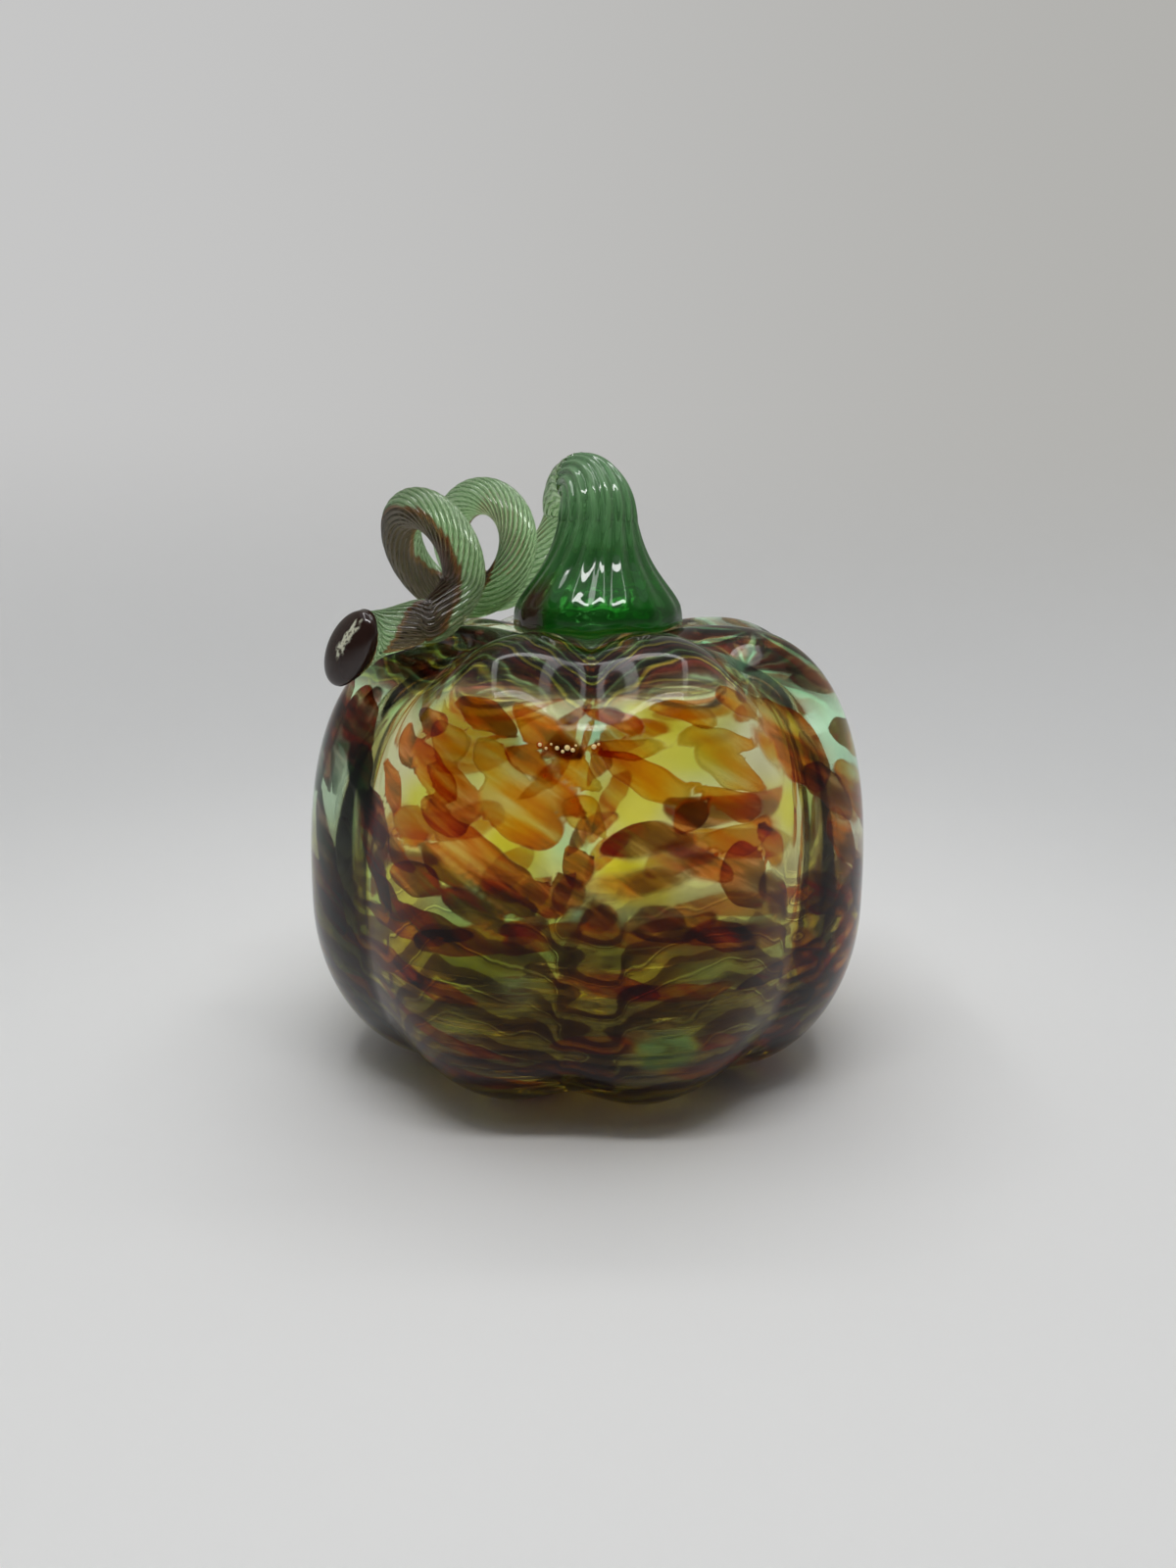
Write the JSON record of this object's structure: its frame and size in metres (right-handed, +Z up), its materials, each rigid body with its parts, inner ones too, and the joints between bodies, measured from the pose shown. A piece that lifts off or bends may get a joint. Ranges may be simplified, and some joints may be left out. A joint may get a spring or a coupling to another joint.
{
  "type": "glass pumpkin ornament",
  "caption": "Hollow blown-glass pumpkin with rounded lobes, amber and maroon colour chips in clear glass, a green bell-shaped stem and a looped vine",
  "frame": {"origin": "on the standing surface, under the middle of the body", "axes": "+Z up along the height, -Y towards the front that the picture shows, with the vine on the left at -X"},
  "size_m": [0.123, 0.123, 0.135],
  "materials": {
    "clear_glass": "polished, clear with a faint yellow-green tint",
    "amber_glass": "polished, transparent amber",
    "maroon_glass": "polished, deep maroon to brown",
    "yellow_glass": "polished, transparent yellow",
    "aqua_glass": "polished, pale aqua",
    "green_glass": "polished, deep green, softly ribbed",
    "pale_green_glass": "polished, pale translucent green with fine twisted ribs",
    "brown_glass": "polished, dark purple-brown"
  },
  "bodies": {
    "root": {"body": "clear_glass", "amber_chips": "amber_glass", "maroon_chips": "maroon_glass", "yellow_chips": "yellow_glass", "aqua_chips": "aqua_glass", "stem": "green_glass", "vine": "pale_green_glass", "vine_streak": "brown_glass"}
  },
  "joints": []
}
